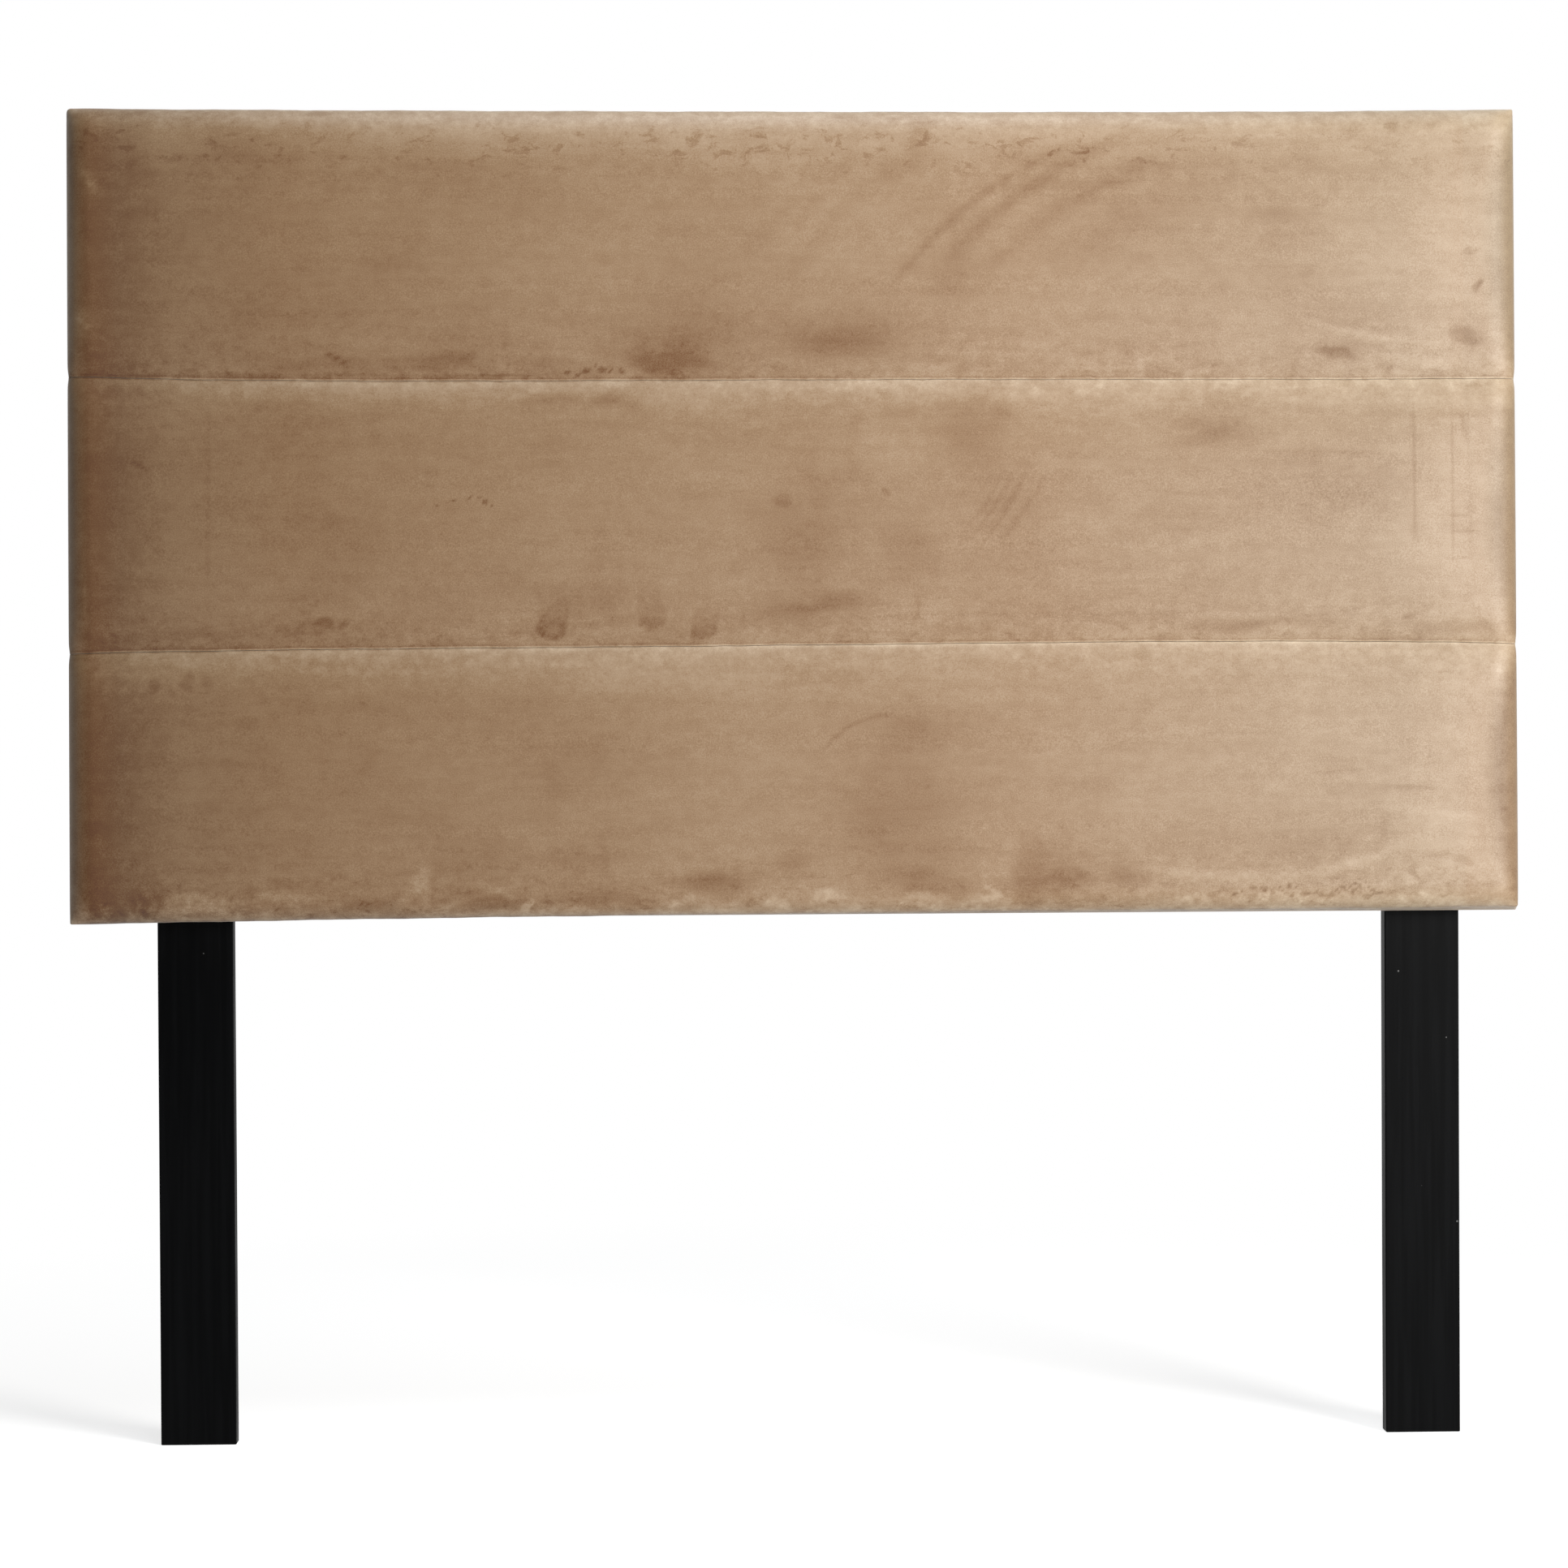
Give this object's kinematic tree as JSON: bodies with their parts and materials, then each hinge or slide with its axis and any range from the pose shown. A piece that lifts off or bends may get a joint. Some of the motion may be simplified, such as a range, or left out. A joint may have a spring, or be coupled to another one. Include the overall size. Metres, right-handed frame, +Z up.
{
  "type": "headboard",
  "caption": "Wide upholstered headboard with a horizontally channelled velvet panel on black board legs fixed behind it.",
  "frame": {"origin": "on the floor, under the centre of the object's bounding box", "axes": "+Z up, +X to the right of someone who faces the padded front, +Y towards the wall behind"},
  "size_m": [1.6, 0.0919, 1.48],
  "materials": {
    "velvet": "matte",
    "wadding": "matte",
    "foam": "matte",
    "softwood": "matte",
    "hardboard": "matte",
    "black_painted_wood": "satin",
    "black_nonwoven": "matte",
    "zinc_steel": "satin"
  },
  "bodies": {
    "root": {"top_cover_panel": "velvet", "top_wadding": "wadding", "top_foam_pad": "foam", "middle_cover_panel": "velvet", "middle_wadding": "wadding", "middle_foam_pad": "foam", "bottom_cover_panel": "velvet", "bottom_wadding": "wadding", "bottom_foam_pad": "foam", "frame_top_rail": "softwood", "frame_bottom_rail": "softwood", "frame_left_stile": "softwood", "frame_right_stile": "softwood", "frame_centre_stile": "softwood", "left_leg_batten": "softwood", "right_leg_batten": "softwood", "face_board": "hardboard", "dust_cover": "black_nonwoven", "left_leg": "black_painted_wood", "right_leg": "black_painted_wood", "frame_screws": "zinc_steel", "face_board_staples": "zinc_steel", "cover_staples": "zinc_steel", "dust_cover_staples": "zinc_steel", "leg_bolts": "zinc_steel", "leg_washers": "zinc_steel", "leg_t_nuts": "zinc_steel"}
  },
  "joints": []
}
